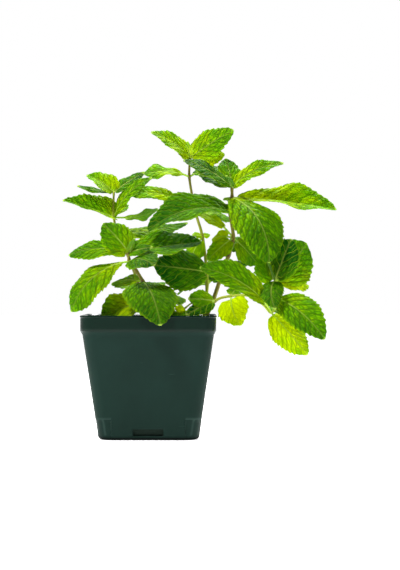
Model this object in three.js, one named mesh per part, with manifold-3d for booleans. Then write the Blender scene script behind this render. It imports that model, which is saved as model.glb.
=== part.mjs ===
// Potted mint plant: a square nursery pot filled with soil, with six leafy mint stems standing in it.
// Millimetres, +Z up, pot centred on the origin with its base on z = 0.
import * as THREE from 'three';
import { mergeVertices } from 'three/addons/utils/BufferGeometryUtils.js';
import Module from 'manifold-3d';

const wasm = await Module();
wasm.setup();

// ---- driving dimensions ---------------------------------------------------------------------
const POT_HEIGHT = 97;            // floor to top of rim
const BASE_HALF = 39.2;           // half width of the body where it meets the floor
const SHOULDER_HALF = 51;         // half width of the body just under the rim
const SHOULDER_Z = 82.3;
const RIM_HALF = 52.7;            // half width of the upright rim band
const RIM_Z = 85;                 // lower edge of the rim band
const RIM_BEVEL = 0.4;            // sloped edge under the rim band and along its top
const LIP = 0.4;                  // outward bead along the top of the rim
const LIP_HEIGHT = 1.2;
const WALL = 1.4;
const FLOOR = 2.2;
const CORNER = 9;                 // plan radius of the body corners
const RIM_CORNER = 10;
const BASE_FILLET = 3.2;
const FOOT_CORNER = 0.7;          // loss of plan radius at the foot, over the loss of half width
const FLOOR_BEVEL = 1.5;          // sloped edge inside, where the wall meets the floor
const MOUTH_BEVEL = 0.5;          // sloped inner edge of the rim
const SLOT_WIDTH = 23.5;          // drain slot in the middle of each side
const SLOT_Z = [2.95, 8.75];
const PANEL_SIDE = 13;            // shallow recess at each foot corner, measured from the corner
const PANEL_HEIGHT = 16.5;
const PANEL_SLOPE = 1.5;          // height over which the recess runs out at its top
const PANEL_DEPTH = 0.6;
const GAP = 0.3;                  // air left between pieces that rest against each other
const SOIL_TOP = 84;
const SOIL_BUMP = 1.1;
const SOIL_RINGS = [0.985, 0.85, 0.7, 0.54, 0.38, 0.22, 0.08];  // rings of its top, as shares
const STEM_ROOT = 74;             // height of the lower end of every stem, buried in the soil
const STEM_TAPER = 0.45;          // share of its radius that a stem loses on the way to its tip
const NODE_SWELL = 1.18;          // a stem's radius at a node, over that beside it
const HOLE_ROOM = 1.25;           // a hole's radius over that of the stem in it, before the gap
const BLADE = 0.8;                // leaf blade thickness
const PETIOLE = 1.3;              // leaf stalk thickness
const LONGEST_STALK = 0.8;        // most of a leaf's length that can be bare stalk
const NECK = 0.92;                // share of the bare stalk where it begins to widen to the blade
const TOOTH_PITCH = 10;           // leaf length to each tooth
const FEWEST_TEETH = 3;
const MOST_TEETH = 6;
const TOOTH_DEPTH = 0.035;        // how far a tooth stands out or in, as a share of the half width
const TOOTH_LEAN = 0.25;          // how far a tooth's root is moved towards the stem, in teeth
const ROUNDNESS = 0.66;           // power of the sine the leaf outline follows: less is blunter
const HEART = 0.13;               // how far the base corners are drawn back, as a share of the width
const DROOP = 0.16;               // how far the margin curls down, as a share of the half width
const WIDE = 27;                  // a leaf wider than this gets a middle line down each half
const CORNER_STEPS = 4;
const FOOT_STEPS = 3;
const STEM_STEPS = 2;             // rings of a stem to each span between its nodes
const HOLE_SIDES = 14;
const SHORTEST = 0.01;            // edges shorter than this are taken out where leaves cross
const CLEAR = 120;                // longer than the pot is wide, for cutters that pass through it

// ---- the plant ------------------------------------------------------------------------------
// Each stem runs through its nodes, listed upwards, and narrows towards its tip. A leaf row is
// [node it grows from, tip x, tip y, tip z, width, crest, roll, twist, arch, sway, fold, stalk,
// ruffle]: crest is the share of the blade's length at which it is widest, roll turns the blade
// about its own length, twist is how much more it is turned at the tip than at the stem, arch is
// the whole angle it bends through along its length, sway is how far its middle stands off
// sideways, fold is how far each half is raised from flat, stalk is the length of bare petiole, and
// ruffle is the height of the waves along the margin. Angles are in degrees.
const STEMS = [
  { name: 'back_stem', radius: 1.6,
    nodes: [[43, 20, 92], [45.8, 21, 121], [42, 22, 160], [37, 22, 178], [31.5, 21, 208], [32, 20, 223],
      ],
    leaves: [
      [5, 1, 8, 243, 24, 0.3, 48, 0, 45, 0, 15, 2, 0.9],
      [5, 67, 10, 245, 31, 0.34, -60, 0, 15, 0, 8, 3, 1],
      [5, 60, 22, 226, 22, 0.38, -55, 0, 25, 0, 0, 3, 0.9],
      [5, 30, 14, 236, 9, 0.38, 20, 0, 10, 0, 15, 0, 0.4],
      [4, -5, 16, 210, 20, 0.68, 35, 0, 50, 0, 10, 3, 1.8],
      [4, 66, 38, 213, 15, 0.38, -20, 0, 55, 0, 5, 5, 1],
      [3, -16, 24, 194, 18, 0.68, 42, 0, 80, 0, 10, 8, 0.9],
      [3, 70, 48, 172, 20, 0.38, -30, 0, 40, 0, 5, 6, 1],
      [2, 34, 16, 161, 7, 0.38, 50, 0, 40, 0, 5, 1, 0.3],
      [2, 48, 24, 161, 6, 0.38, -50, 0, 40, 0, 5, 1, 0.3],
      [2, 30, 26, 136, 22, 0.38, 62, 0, 20, 0, 5, 4, 0.8],
      [1, 22, 48, 113, 20, 0.38, 20, 0, 40, 0, 5, 6, 1],
      [1, 73, 48, 135, 20, 0.38, -20, 0, 40, 0, 5, 6, 1],
      [1, 52, 58, 142, 20, 0.38, 10, 0, 40, 0, 5, 4, 0.8],
      [5, 42, 40, 236, 18, 0.38, 0, 0, 30, 0, 10, 2, 0.8],
    ] },
  { name: 'tall_stem', radius: 2,
    nodes: [[43, 2, 90], [50, 1, 107], [57.5, 0, 129], [63, -1, 145], [66.5, -2, 158], [64, -3, 179],
      [65.5, -3, 190], [65.5, -3, 198]],
    leaves: [
      [7, 27, -14, 219, 24, 0.48, 36, 0, 35, 0, 8, 3, 1],
      [7, 39, 6, 209, 17, 0.38, 25, 0, 20, 0, 5, 4, 0.8],
      [7, 61, 14, 222, 20, 0.45, 0, 0, 25, 0, 12, 2, 0.8],
      [7, 106, -10, 217, 19, 0.36, -46, 0, 62, 0, 15, 3, 1.2],
      [7, 61, -12, 207, 8, 0.38, 10, 0, 20, 0, 15, 1, 0.4],
      [7, 71, 2, 206, 8, 0.38, -10, 0, 20, 0, 15, 1, 0.4],
      [6, 94, -34, 138, 43, 0.5, -16, 0, 70, 4, 0, 3, 1.4],
      [6, 78, 42, 181, 24, 0.38, 0, 0, 40, 0, 5, 5, 1],
      [6, 149, 8, 181, 38, 0.6, -37, 0, 14, 0, 33, 4, 2.4],
      [5, -1, -18, 163, 44, 0.42, 30, 0, 68, 0, 24, 4, 2.2],
      [4, 50, 8, 157, 16, 0.38, 50, 0, 70, 0, 5, 5, 0.8],
      [4, 38, 6, 178, 15, 0.38, 25, 0, 50, 0, 5, 12, 0.6],
      [4, 46, -12, 140, 17, 0.42, 50, 0, 40, 0, 0, 4, 0.8],
      [4, 86, 6, 137, 24, 0.42, -60, 0, 25, 0, 0, 5, 1.2],
      [2, 4, -22, 136, 35, 0.42, 75, 0, 20, 0, -6, 16, 1.4],
      [2, 77, 30, 139, 16, 0.38, -20, 0, 40, 0, 0, 6, 0.8],
      [3, 80, 46, 160, 22, 0.38, 0, 0, 40, 0, 5, 5, 0.9],
      [5, 54, 38, 186, 20, 0.38, 0, 0, 30, 0, 5, 4, 0.8],
      [7, 80, 30, 208, 16, 0.38, 0, 0, 30, 0, 8, 3, 0.8],
    ] },
  { name: 'left_stem', radius: 1.5,
    nodes: [[2, 12, 90], [-7, 12, 115], [-18, 12, 145], [-26, 11, 162], [-29, 10, 175], [-29, 9, 195]],
    leaves: [
      [4, -69, -2, 188, 34, 0.18, 40, 0, 12, 0, 38, 2, 0.9],
      [5, -5, 24, 212, 14, 0.38, -30, 0, 15, 0, 8, 1, 0.8],
      [4, 2, -2, 206, 18, 0.42, -50, 0, 45, 2, 10, 1, 0.8],
      [5, -51, 18, 209, 24, 0.28, 32, 0, 40, 0, 30, 1, 0.8],
      [5, -58, 6, 200, 12, 0.55, 24, 0, -15, 0, 8, 2, 0.4],
      [4, 6, 18, 182, 18, 0.6, 25, 0, -35, 0, 5, 8, 1.4],
      [4, -26, 50, 187, 20, 0.38, 0, 0, 40, 0, 8, 6, 1],
      [3, 30, 30, 171, 20, 0.38, -30, 0, -16, 0, 5, 6, 0.8],
      [3, -36, 48, 160, 16, 0.38, 40, 0, 20, 0, 5, 5, 0.8],
      [2, -4, 46, 155, 20, 0.38, 0, 0, 30, 0, 5, 5, 0.8],
      [2, -34, 46, 149, 18, 0.38, 0, 0, 30, 0, 5, 5, 0.8],
      [1, -24, 48, 118, 20, 0.38, 0, 0, 35, 0, 5, 5, 0.8],
      [1, 10, 48, 122, 20, 0.38, 0, 0, 35, 0, 5, 5, 0.8],
    ] },
  { name: 'front_stem', radius: 1.8,
    nodes: [[8, -14, 90], [2, -19, 107], [-4.5, -22, 123], [-10, -22, 132], [-15.5, -22, 139], [-15.5, -22, 146],
      ],
    leaves: [
      [5, -36, -20, 169, 28, 0.38, 60, 0, 25, 0, 5, 2, 1],
      [5, -63, -18, 144, 26, 0.55, 34, 0, 50, 0, 6, 4, 0.8],
      [5, 41, -6, 155, 38, 0.45, -32, 0, 6, 0, 24, 3, 1.6],
      [4, 5, -44, 136, 28, 0.5, -28, 0, 60, 0, 5, 2, 1],
      [5, -21, -16, 156, 8, 0.38, 20, 0, 10, 0, 15, 0, 0.4],
      [5, -11, -28, 157, 9, 0.38, -10, 0, 10, 0, 15, 0, 0.4],
      [5, 3, -32, 150, 13, 0.38, -45, 0, 20, 0, 5, 1, 0.5],
      [4, -60, -34, 100, 30, 0.6, 38, 0, 80, -2, -4, 6, 1.8],
      [2, 10, -65, 90, 43, 0.33, -6, 0, 50, 0.5, -3, 1.5, 1],
      [2, -30, 6, 122, 20, 0.38, 30, 0, 30, 0, 5, 6, 0.8],
      [1, -37, -26, 97, 31, 0.5, 48, 0, 30, 0, 20, 12, 0.9],
      [1, 28, 16, 109, 20, 0.38, -30, 0, 40, 0, 0, 8, 0.8],
    ] },
  { name: 'arching_stem', radius: 1.3,
    nodes: [[43.5, -12, 90], [52, -15, 108], [64.5, -18, 112], [79.5, -21, 112], [89, -23, 106], [96, -24, 99],
      [100, -20, 110], [99, -18, 124]],
    leaves: [
      [5, 40, -42, 134, 32, 0.46, 54, 0, 68, 0, 24, 14, 1.2],
      [5, 123, -48, 67, 28, 0.36, -50, 0, 20, 0, -30, 3, 1.4],
      [6, 136, -52, 79, 30, 0.42, -45, 0, 50, 2, 18, 6, 1.2],
      [7, 98, -46, 102, 20, 0.36, 0, 0, 40, -3, 0, 2, 0.8],
      [7, 127, 12, 120, 22, 0.38, -40, 0, 30, 0, 0, 4, 0.9],
      [7, 125, 4, 154, 40, 0.45, -70, 0, 20, -1, 5, 3, 1.4],
      [7, 112, -14, 157, 28, 0.42, -60, 0, 15, 0, 5, 3, 0.9],
      [7, 91, -24, 143, 7, 0.38, 20, 0, 10, 0, 15, 1, 0.3],
      [7, 88, -6, 147, 24, 0.32, 45, 0, 15, 0, 5, 2, 0.8],
      [2, 72, -26, 89, 26, 0.3, -60, 0, 20, -2, 0, 3, 1],
      [2, 69, 6, 117, 12, 0.38, -20, 0, 30, 0, 0, 3, 0.6],
      [1, 31, -28, 110, 18, 0.38, 65, 0, 20, 0, 0, 2, 0.8],
      [1, 29, -34, 97, 14, 0.38, 40, 0, 20, 0, 0, 3, 0.6],
      [5, 118, 8, 98, 22, 0.38, -20, 0, 40, 0, 0, 4, 0.9],
      [3, 82, 12, 121, 18, 0.38, 0, 0, 30, 0, 0, 4, 0.8],
    ] },
  { name: 'low_stem', radius: 0.9,
    nodes: [[21, -5, 88], [24, -6, 98], [29, -8, 103], [34, -10, 106.5], [39, -12, 107]],
    leaves: [
      [1, 25, -16, 105, 9, 0.38, 20, 0, 20, 0, 5, 1, 0.3],
      [3, 38, -6, 111, 6, 0.38, -20, 0, 20, 0, 5, 1, 0.3],
      [4, 46, -14, 108, 8, 0.38, -20, 0, 20, 0, 5, 1, 0.3],
      [1, 33, -18, 98, 10, 0.38, -30, 0, 30, 0, 5, 2, 0.3],
      [1, 15, -12, 98, 10, 0.38, 30, 0, 30, 0, 5, 2, 0.3],
    ] },
];

// ---- helpers --------------------------------------------------------------------------------
/** Repeatable random numbers in 0..1. */
function makeRandom(seed) {
  let state = seed;
  return () => {
    state = (state * 1664525 + 1013904223) % 4294967296;
    return state / 4294967296;
  };
}

/** Turn point and face lists into a closed solid that can be joined and cut. */
function solidFromLists(points, faces) {
  const geometry = new THREE.BufferGeometry();
  geometry.setAttribute('position', new THREE.Float32BufferAttribute(points.flat(), 3));
  geometry.setIndex(faces.flat());
  return solidFromGeometry(geometry);
}

/** The unit vector that makes the given angle with first, on the side of second, square to it. */
function turnedTowards(first, second, angle) {
  return first.clone().multiplyScalar(Math.cos(angle)).addScaledVector(second, Math.sin(angle));
}

const radians = THREE.MathUtils.degToRad;

function solidFromGeometry(source) {
  const plain = source.clone();
  plain.deleteAttribute('normal');
  plain.deleteAttribute('uv');
  const welded = mergeVertices(plain, 1e-4);
  return new wasm.Manifold(new wasm.Mesh({
    numProp: 3,
    vertProperties: new Float32Array(welded.attributes.position.array),
    triVerts: new Uint32Array(welded.index.array),
  }));
}

function meshFromSolid(solid, name, material) {
  const result = solid.getMesh();
  const geometry = new THREE.BufferGeometry();
  const positions = new Float32Array(result.vertProperties);
  geometry.setAttribute('position', new THREE.BufferAttribute(positions, 3));
  geometry.setIndex(new THREE.BufferAttribute(new Uint32Array(result.triVerts), 1));
  geometry.computeVertexNormals();
  const mesh = new THREE.Mesh(geometry, material);
  mesh.name = name;
  return mesh;
}

function boxSolid(size, centre) {
  const box = new THREE.BoxGeometry(...size);
  box.translate(...centre);
  return solidFromGeometry(box);
}

/** One level of a square with round corners, as points going counter-clockwise. */
function squareRing(half, corner, z) {
  const ring = [];
  for (let side = 0; side < 4; side++) {
    const signX = side === 0 || side === 3 ? 1 : -1;
    const signY = side < 2 ? 1 : -1;
    for (let step = 0; step <= CORNER_STEPS; step++) {
      const angle = (side + step / CORNER_STEPS) * Math.PI / 2;
      ring.push([
        signX * (half - corner) + corner * Math.cos(angle),
        signY * (half - corner) + corner * Math.sin(angle), z]);
    }
  }
  return ring;
}

/** Skin rings of equal count into a solid with flat ends; the rings run up the outside. */
function loft(rings) {
  const count = rings[0].length;
  const points = rings.flat();
  const faces = [];
  for (let level = 0; level + 1 < rings.length; level++) {
    for (let i = 0; i < count; i++) {
      const a = level * count + i;
      const b = level * count + (i + 1) % count;
      faces.push([a, b, b + count], [a, b + count, a + count]);
    }
  }
  const last = rings.length - 1;
  for (const [level, flip] of [[0, true], [last, false]]) {
    const middle = rings[level].reduce((sum, p) => sum.map((v, k) => v + p[k] / count), [0, 0, 0]);
    points.push(middle);
    const centre = points.length - 1;
    for (let i = 0; i < count; i++) {
      const a = level * count + i;
      const b = level * count + (i + 1) % count;
      faces.push(flip ? [b, a, centre] : [a, b, centre]);
    }
  }
  return solidFromLists(points, faces);
}

const bodyHalf = (z) => BASE_HALF + (SHOULDER_HALF - BASE_HALF) * z / SHOULDER_Z;

// ---- pot ------------------------------------------------------------------------------------
function potSolid() {
  const outside = [];
  for (let step = 0; step <= FOOT_STEPS; step++) {
    const angle = step / FOOT_STEPS * Math.PI / 2;
    const z = BASE_FILLET * (1 - Math.cos(angle));
    const inset = BASE_FILLET * (1 - Math.sin(angle));
    outside.push(squareRing(bodyHalf(z) - inset, CORNER - FOOT_CORNER * inset, z));
  }
  outside.push(
    squareRing(SHOULDER_HALF, CORNER, SHOULDER_Z),
    squareRing(RIM_HALF - RIM_BEVEL, RIM_CORNER, RIM_Z - RIM_BEVEL),
    squareRing(RIM_HALF, RIM_CORNER, RIM_Z),
    squareRing(RIM_HALF, RIM_CORNER, POT_HEIGHT - LIP_HEIGHT - LIP),
    squareRing(RIM_HALF + LIP, RIM_CORNER + LIP, POT_HEIGHT - LIP_HEIGHT),
    squareRing(RIM_HALF + LIP, RIM_CORNER + LIP, POT_HEIGHT - RIM_BEVEL),
    squareRing(RIM_HALF + LIP - RIM_BEVEL, RIM_CORNER, POT_HEIGHT));
  const inside = loft([
    squareRing(bodyHalf(FLOOR) - WALL - FLOOR_BEVEL, CORNER - WALL, FLOOR),
    squareRing(bodyHalf(FLOOR + FLOOR_BEVEL) - WALL, CORNER - WALL, FLOOR + FLOOR_BEVEL),
    squareRing(SHOULDER_HALF - WALL, CORNER - WALL, SHOULDER_Z),
    squareRing(RIM_HALF - WALL, RIM_CORNER - WALL, RIM_Z),
    squareRing(RIM_HALF - WALL, RIM_CORNER - WALL, POT_HEIGHT - MOUTH_BEVEL),
    squareRing(RIM_HALF - WALL + MOUTH_BEVEL, RIM_CORNER - WALL + MOUTH_BEVEL, POT_HEIGHT)]);
  const slotHeight = SLOT_Z[1] - SLOT_Z[0];
  const slotMiddle = (SLOT_Z[0] + SLOT_Z[1]) / 2;
  return loft(outside).subtract(inside).subtract(cornerRecess())
    .subtract(boxSolid([SLOT_WIDTH, CLEAR, slotHeight], [0, 0, slotMiddle]))
    .subtract(boxSolid([CLEAR, SLOT_WIDTH, slotHeight], [0, 0, slotMiddle]));
}

/** The skin taken off each foot corner: all that is outside the body outline set in by the depth of
 * the recess, up to where that slopes out past it, less a cross that keeps the middle of each side. */
function cornerRecess() {
  const top = PANEL_HEIGHT + PANEL_SLOPE;
  const foot = PANEL_HEIGHT - PANEL_SLOPE;
  const outer = boxSolid([CLEAR, CLEAR, 2 * top], [0, 0, 0]);
  const inner = loft([
    squareRing(bodyHalf(-top) - PANEL_DEPTH, CORNER - PANEL_DEPTH, -top),
    squareRing(bodyHalf(foot) - PANEL_DEPTH, CORNER - PANEL_DEPTH, foot),
    squareRing(bodyHalf(top) + PANEL_DEPTH, CORNER, top)]);
  const reach = bodyHalf(PANEL_HEIGHT) - PANEL_SIDE;
  return outer.subtract(inner)
    .subtract(boxSolid([2 * reach, CLEAR, 2 * top], [0, 0, 0]))
    .subtract(boxSolid([CLEAR, 2 * reach, 2 * top], [0, 0, 0]));
}

// ---- soil -----------------------------------------------------------------------------------
function soilSolid() {
  const random = makeRandom(7);
  const side = (z) => squareRing(bodyHalf(z) - WALL - GAP, CORNER - WALL - GAP, z);
  const rings = [
    squareRing(bodyHalf(FLOOR) - WALL - FLOOR_BEVEL - GAP, CORNER - WALL - GAP, FLOOR + GAP),
    side(FLOOR + FLOOR_BEVEL + GAP), side(SHOULDER_Z)];
  for (const share of SOIL_RINGS) {
    const half = share * (SHOULDER_HALF - WALL - GAP);
    rings.push(squareRing(half, share * CORNER, SOIL_TOP).map(
      ([x, y, z]) => [x, y, z + SOIL_BUMP * (2 * random() - 1)]));
  }
  let soil = loft(rings);
  for (const stem of STEMS) {
    const [x, y] = stem.nodes[0];
    const room = stem.radius * HOLE_ROOM + GAP;
    const hole = new THREE.CylinderGeometry(room, room, STEM_ROOT, HOLE_SIDES);
    hole.rotateX(Math.PI / 2);
    hole.translate(x, y, STEM_ROOT - GAP + STEM_ROOT / 2);
    soil = soil.subtract(solidFromGeometry(hole));
  }
  return soil;
}

// ---- stems and leaves -----------------------------------------------------------------------
/** Square stem swept along its nodes, narrowing upwards and a little thicker at each node. */
function stemSolid(stem) {
  const [rootX, rootY] = stem.nodes[0];
  const path = [[rootX, rootY, STEM_ROOT], [rootX, rootY, SOIL_TOP - 1], ...stem.nodes];
  const points = path.map((p) => new THREE.Vector3(...p));
  const curve = new THREE.CatmullRomCurve3(points, false, 'centripetal');
  const steps = (path.length - 1) * STEM_STEPS;
  const rings = [];
  const sideways = new THREE.Vector3(0, 1, 0);
  for (let i = 0; i <= steps; i++) {
    const at = i / steps;
    const point = curve.getPoint(at);
    const along = curve.getTangent(at);
    const across = new THREE.Vector3().crossVectors(sideways, along).normalize();
    const depth = new THREE.Vector3().crossVectors(along, across);
    const swell = i % STEM_STEPS === 0 && i > STEM_STEPS ? NODE_SWELL : 1;
    const radius = stem.radius * (1 - STEM_TAPER * at) * swell;
    const ring = [];
    for (const [a, b] of [[1, 0], [0, 1], [-1, 0], [0, -1]]) {
      ring.push(point.clone().addScaledVector(across, a * radius)
        .addScaledVector(depth, b * radius).toArray());
    }
    rings.push(ring);
  }
  return loft(rings);
}

/**
 * Middle surface of one leaf. The stalk and midrib follow one circular arc from the stem to the tip,
 * which sways aside in its middle; across it each half is raised by the fold and turned down again
 * towards the margin, the base corners are drawn back to a shallow heart, and the margin carries saw
 * teeth and a wave.
 */
function leafSurface(base, row, phase) {
  const [, tipX, tipY, tipZ, width, crest, roll, twist, arch, sway, fold, stalk, ruffle] = row;
  const chord = new THREE.Vector3(tipX, tipY, tipZ).sub(base);
  const length = chord.length();
  const along = chord.clone().normalize();
  const level = new THREE.Vector3(0, 0, 1).addScaledVector(along, -along.z).normalize();
  const flank = new THREE.Vector3().crossVectors(level, along);
  const up = turnedTowards(level, flank, radians(roll));
  const side = turnedTowards(flank, level, -radians(roll));
  const bend = radians(arch);
  const radius = length / (2 * Math.sin(bend / 2));
  const bare = Math.min(stalk / Math.abs(radius * bend), LONGEST_STALK);
  const lift = radians(fold);
  const peak = Math.log(0.5) / Math.log(crest);
  const teeth = THREE.MathUtils.clamp(
    Math.round(length * (1 - bare) / TOOTH_PITCH), FEWEST_TEETH, MOST_TEETH);
  const columns = width > WIDE ? [-1, -0.5, 0, 0.5, 1] : [-1, 0, 1];

  const stations = [{ t: 0, notch: 0 }];
  if (stalk > 0) {
    stations.push({ t: bare * NECK, notch: 0 });
  }
  for (let notch = 1; notch <= 2 * teeth; notch++) {
    const share = notch < 2 * teeth ? (notch / 2 - TOOTH_LEAN) / teeth : 1;
    stations.push({ t: bare + (1 - bare) * share, notch });
  }
  return stations.map(({ t, notch }) => {
    const angle = bend * (t - 0.5);
    const turned = radians(twist * (t - 0.5));
    const spine = base.clone().addScaledVector(along, length / 2 + radius * Math.sin(angle))
      .addScaledVector(side, 4 * sway * t * (1 - t))
      .addScaledVector(up, radius * (Math.cos(angle) - Math.cos(bend / 2)));
    const facing = turnedTowards(up, along, angle);
    const ahead = turnedTowards(along, up, -angle);
    const normal = turnedTowards(facing, side, turned);
    const sideways = turnedTowards(side, facing, -turned);
    if (notch === 0) {
      return { thickness: PETIOLE, points: columns.map(
        (v) => spine.clone().addScaledVector(sideways, v * PETIOLE / 2)) };
    }
    const blade = (t - bare) / (1 - bare);
    const tooth = 1 + (notch % 2 === 0 ? TOOTH_DEPTH : -TOOTH_DEPTH);
    const outline = width / 2 * Math.sin(Math.PI * Math.min(blade ** peak, 1)) ** ROUNDNESS * tooth;
    const half = Math.max(outline, PETIOLE / 2);
    const drawnBack = HEART * width * (1 - blade) ** 5;
    return { thickness: BLADE, points: columns.map((v) => {
      const wave = ruffle * v * v * Math.sin(Math.PI * blade)
        * Math.sin(2 * Math.PI * (2 * blade + phase + 0.25 * Math.sign(v)));
      const rise = half * (Math.abs(v) * Math.sin(lift) - DROOP * v * v) + wave;
      return spine.clone().addScaledVector(sideways, v * half * Math.cos(lift))
        .addScaledVector(normal, rise).addScaledVector(ahead, -drawnBack * v * v);
    }) };
  });
}

/** Give a leaf's middle surface its thickness, half of it to either face. */
function leafSolid(base, row, phase) {
  const rows = leafSurface(base, row, phase);
  const across = rows[0].points.length;
  const count = rows.length * across;
  const at = (i, j) => rows[Math.min(Math.max(i, 0), rows.length - 1)]
    .points[Math.min(Math.max(j, 0), across - 1)];
  const upper = [];
  const lower = [];
  for (let i = 0; i < rows.length; i++) {
    for (let j = 0; j < across; j++) {
      const along = at(i + 1, j).clone().sub(at(i - 1, j));
      const sideways = at(i, j + 1).clone().sub(at(i, j - 1));
      const normal = new THREE.Vector3().crossVectors(along, sideways).normalize();
      const half = rows[i].thickness / 2;
      upper.push(at(i, j).clone().addScaledVector(normal, half).toArray());
      lower.push(at(i, j).clone().addScaledVector(normal, -half).toArray());
    }
  }
  const faces = [];
  const skin = (a, b, c, d) => faces.push([a, b, c], [a, c, d]);
  for (let i = 0; i + 1 < rows.length; i++) {
    for (let j = 0; j + 1 < across; j++) {
      const a = i * across + j;
      skin(a, a + across, a + across + 1, a + 1);
      faces.push([count + a, count + a + across + 1, count + a + across],
        [count + a, count + a + 1, count + a + across + 1]);
    }
    const left = i * across;
    const right = left + across - 1;
    skin(left, count + left, count + left + across, left + across);
    skin(right, right + across, count + right + across, count + right);
  }
  const end = (rows.length - 1) * across;
  for (let j = 0; j + 1 < across; j++) {
    skin(j, j + 1, count + j + 1, count + j);
    skin(end + j, count + end + j, count + end + j + 1, end + j + 1);
  }
  return solidFromLists([...upper, ...lower], faces);
}

function leafyStemSolid(stem, index) {
  const random = makeRandom(31 + index);
  let solid = stemSolid(stem);
  for (const row of stem.leaves) {
    const base = new THREE.Vector3(...stem.nodes[row[0]]);
    solid = solid.add(leafSolid(base, row, random()));
  }
  return solid.simplify(SHORTEST);
}

// ---- assembly -------------------------------------------------------------------------------
const plant = new THREE.Group();
plant.name = 'potted_mint_plant';
const greens = [0x6fa51e, 0x5c941f, 0x77ab25, 0x639a20, 0x6da028, 0x86b42c];

plant.add(meshFromSolid(potSolid(), 'pot',
  new THREE.MeshStandardMaterial({ name: 'pot_plastic', color: 0x22352f, roughness: 0.45 })));
plant.add(meshFromSolid(soilSolid(), 'soil',
  new THREE.MeshStandardMaterial({ name: 'soil', color: 0x3a2a1e, roughness: 0.95 })));
STEMS.forEach((stem, index) => {
  plant.add(meshFromSolid(leafyStemSolid(stem, index), stem.name,
    new THREE.MeshStandardMaterial({ name: `${stem.name}_leaf`, color: greens[index], roughness: 0.55 })));
});

export default plant;
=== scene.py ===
import math

import bmesh
import bpy
import numpy as np
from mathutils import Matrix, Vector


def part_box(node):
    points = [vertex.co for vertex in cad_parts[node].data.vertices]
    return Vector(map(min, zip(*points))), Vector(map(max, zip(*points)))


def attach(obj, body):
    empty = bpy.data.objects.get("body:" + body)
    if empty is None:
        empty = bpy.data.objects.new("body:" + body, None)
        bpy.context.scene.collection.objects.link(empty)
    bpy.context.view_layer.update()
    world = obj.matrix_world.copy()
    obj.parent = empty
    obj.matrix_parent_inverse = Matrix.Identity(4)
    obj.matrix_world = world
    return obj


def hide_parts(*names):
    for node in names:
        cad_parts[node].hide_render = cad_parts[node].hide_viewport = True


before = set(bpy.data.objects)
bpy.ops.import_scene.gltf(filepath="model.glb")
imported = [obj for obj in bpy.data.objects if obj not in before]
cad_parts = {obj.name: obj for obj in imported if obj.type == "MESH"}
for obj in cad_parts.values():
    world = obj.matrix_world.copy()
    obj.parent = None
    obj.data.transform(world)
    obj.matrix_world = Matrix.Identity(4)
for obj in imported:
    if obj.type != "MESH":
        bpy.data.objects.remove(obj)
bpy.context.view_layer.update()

MM = 0.001

# ==== pot ====================================================================================
# A square nursery pot, injection moulded in one shot from dark green polypropylene 1.4 mm thick.
# The rim band steps out over a shoulder so that pots stack, a drain slot is left open in the foot
# of each side, and each foot corner is set back a little to stiffen it.
POT_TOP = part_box("pot")[1].z / MM
LIP = 0.4
RIM_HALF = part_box("pot")[1].x / MM - LIP
BASE_HALF = 39.2
SHOULDER_HALF = 51.0
SHOULDER_Z = 82.3
RIM_Z = 85.0
BODY_CORNER = 9.0
RIM_CORNER = 10.0
BASE_FILLET = 3.2
POT_WALL = 1.4
SLOT_HALF = 11.75
SLOT_HIGH = 8.75
RECESS_SIDE = 13.0
RECESS_TOP = 16.5
RECESS_SLOPE = 1.5
RECESS_DEPTH = 0.6
RECESS_ROUND = 0.5
RECESS_BENDS = (7, 2)
FOOT_TUCK = 0.7
BODY_ROWS = (5, 5, 5, 36)
BAND_ROWS = 6
POT_SHARP = 28


def body_half(z):
    """Half width of the tapering body at height z: a straight line from the base to the shoulder."""
    return BASE_HALF + (SHOULDER_HALF - BASE_HALF) * z / SHOULDER_Z


RECESS_EDGE = body_half(RECESS_TOP) - RECESS_SIDE


def square_ring(half, corner, across):
    """A square with round corners, counter-clockwise: on each side the places in across, which end
    where the corner begins, then a quarter circle of radius corner in steps of 10 degrees."""
    turn = np.radians(np.arange(10, 90, 10))
    side = np.concatenate([-across[::-1], across[1:]])
    x = np.concatenate([np.full(len(side), half), half - corner + corner * np.cos(turn)])
    y = np.concatenate([side, half - corner + corner * np.sin(turn)])
    return np.concatenate([np.stack(q, -1) for q in ((x, y), (-y, x), (-x, -y), (y, -x))])


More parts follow.
